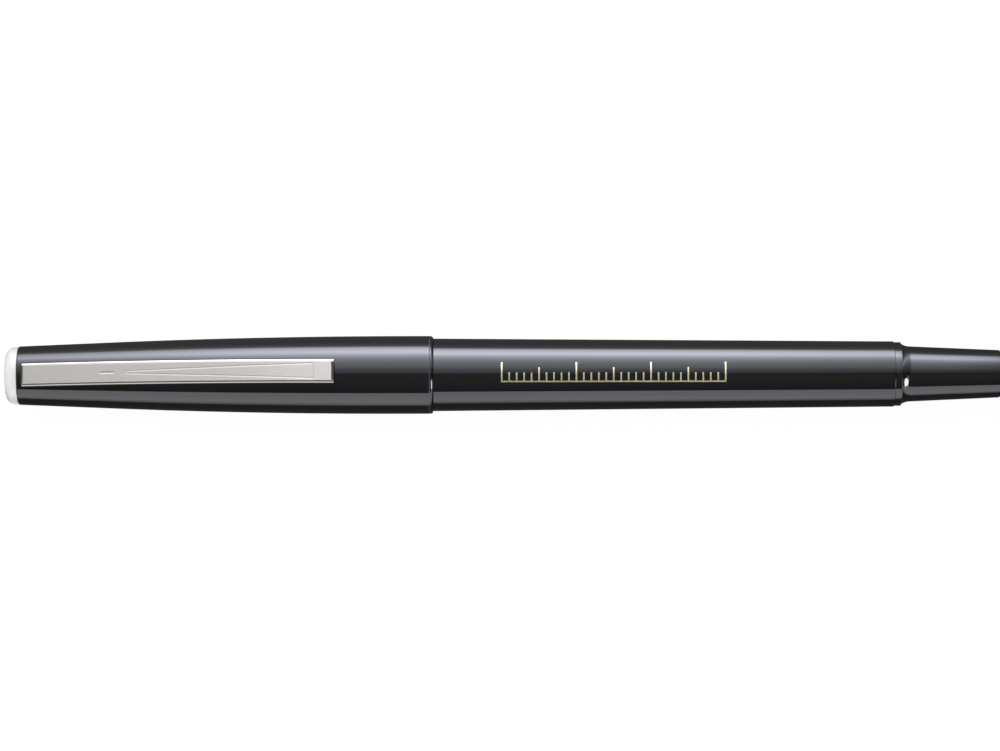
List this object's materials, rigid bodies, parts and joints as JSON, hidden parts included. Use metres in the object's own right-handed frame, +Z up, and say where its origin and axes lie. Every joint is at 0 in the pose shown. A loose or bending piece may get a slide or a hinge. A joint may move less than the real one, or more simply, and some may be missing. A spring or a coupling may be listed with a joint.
{
  "type": "fineliner pen",
  "caption": "Slim capped fineliner pen with a tapered glossy barrel, a pull-off cap with folded steel pocket clip and pale end plug, and a stepped tail stub.",
  "frame": {"origin": "under the middle of the pen's length, on the surface that it lies on", "axes": "+X along the pen from the cap's end to the tail, +Z up out of the clip's face"},
  "size_m": [0.1342, 0.0104, 0.0116],
  "materials": {
    "black_plastic": "polished moulded black",
    "section_plastic": "satin moulded black",
    "white_plastic": "moulded white",
    "clip_steel": "polished stainless sheet",
    "sleeve_steel": "drawn stainless tube",
    "nib_plastic": "extruded rod stained by ink",
    "holder_plastic": "natural moulded",
    "ink_fibre": "bonded fibre soaked with ink",
    "clear_film": "thin clear film",
    "liner_plastic": "natural soft moulded"
  },
  "bodies": {
    "barrel": {"barrel": "black_plastic", "front_section": "section_plastic", "tail_plug": "black_plastic", "ink_reservoir": "ink_fibre", "reservoir_film": "clear_film", "nib": "nib_plastic", "nib_sleeve": "sleeve_steel", "nib_holder": "holder_plastic"},
    "cap": {"cap_shell": "black_plastic", "cap_end_plug": "white_plastic", "inner_cap": "liner_plastic"},
    "clip": {"pocket_clip": "clip_steel"}
  },
  "joints": [
    {"name": "cap_slide", "type": "slide", "parent": "barrel", "child": "cap", "axis": [-1, 0, 0], "range_m": [0, 0.046]},
    {"name": "clip_flex", "type": "hinge", "parent": "cap", "child": "clip", "pos_m": [-0.06451, 0, 0.00855], "axis": [0, -1, 0], "range_deg": [0, 3], "stiffness_Nm_per_rad": 0.6}
  ]
}
